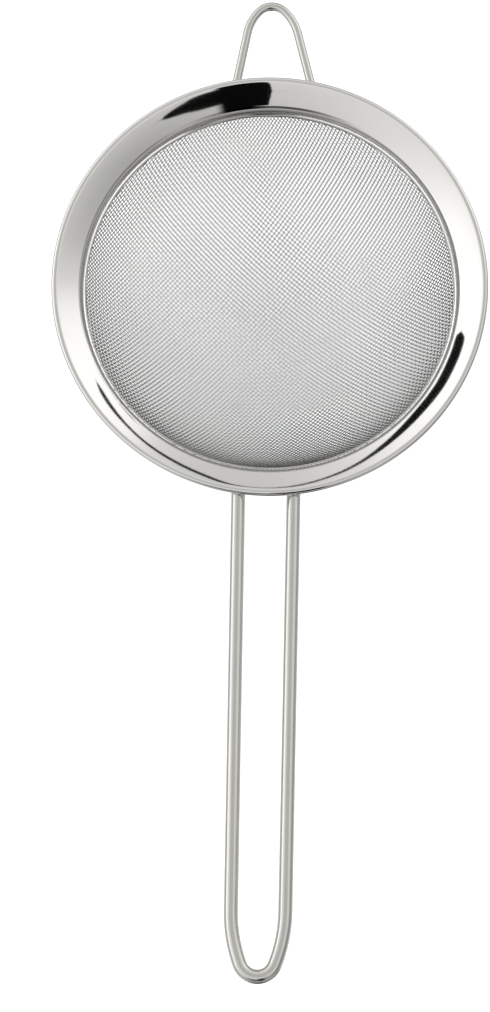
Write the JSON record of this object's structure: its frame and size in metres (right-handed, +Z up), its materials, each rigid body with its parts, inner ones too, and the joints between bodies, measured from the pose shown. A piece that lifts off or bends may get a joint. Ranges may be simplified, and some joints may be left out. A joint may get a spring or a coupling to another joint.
{
  "type": "tea strainer",
  "caption": "Round tea strainer: a woven wire bowl in a flared steel rim, with a long bent-wire loop handle and a small wire rest on the far side.",
  "frame": {"origin": "middle of the bounding box's bottom, on the surface the strainer lies on", "axes": "+Z up from that surface; the handle points along -Y and the small rest along +Y; +X to the right"},
  "size_m": [0.08, 0.1798, 0.0371],
  "materials": {
    "polished_steel": "mirror polished",
    "clamp_steel": "polished",
    "wire_cloth": "bright drawn wire, plain weave",
    "wire_steel": "polished drawn wire",
    "weld_steel": "cleaned weld"
  },
  "bodies": {
    "root": {"rim_flange": "polished_steel", "inner_clamp_ring": "clamp_steel", "mesh_bowl": "wire_cloth", "handle_loop": "wire_steel", "rest_loop": "wire_steel", "handle_weld_left": "weld_steel", "handle_weld_right": "weld_steel", "rest_weld_left": "weld_steel", "rest_weld_right": "weld_steel"}
  },
  "joints": []
}
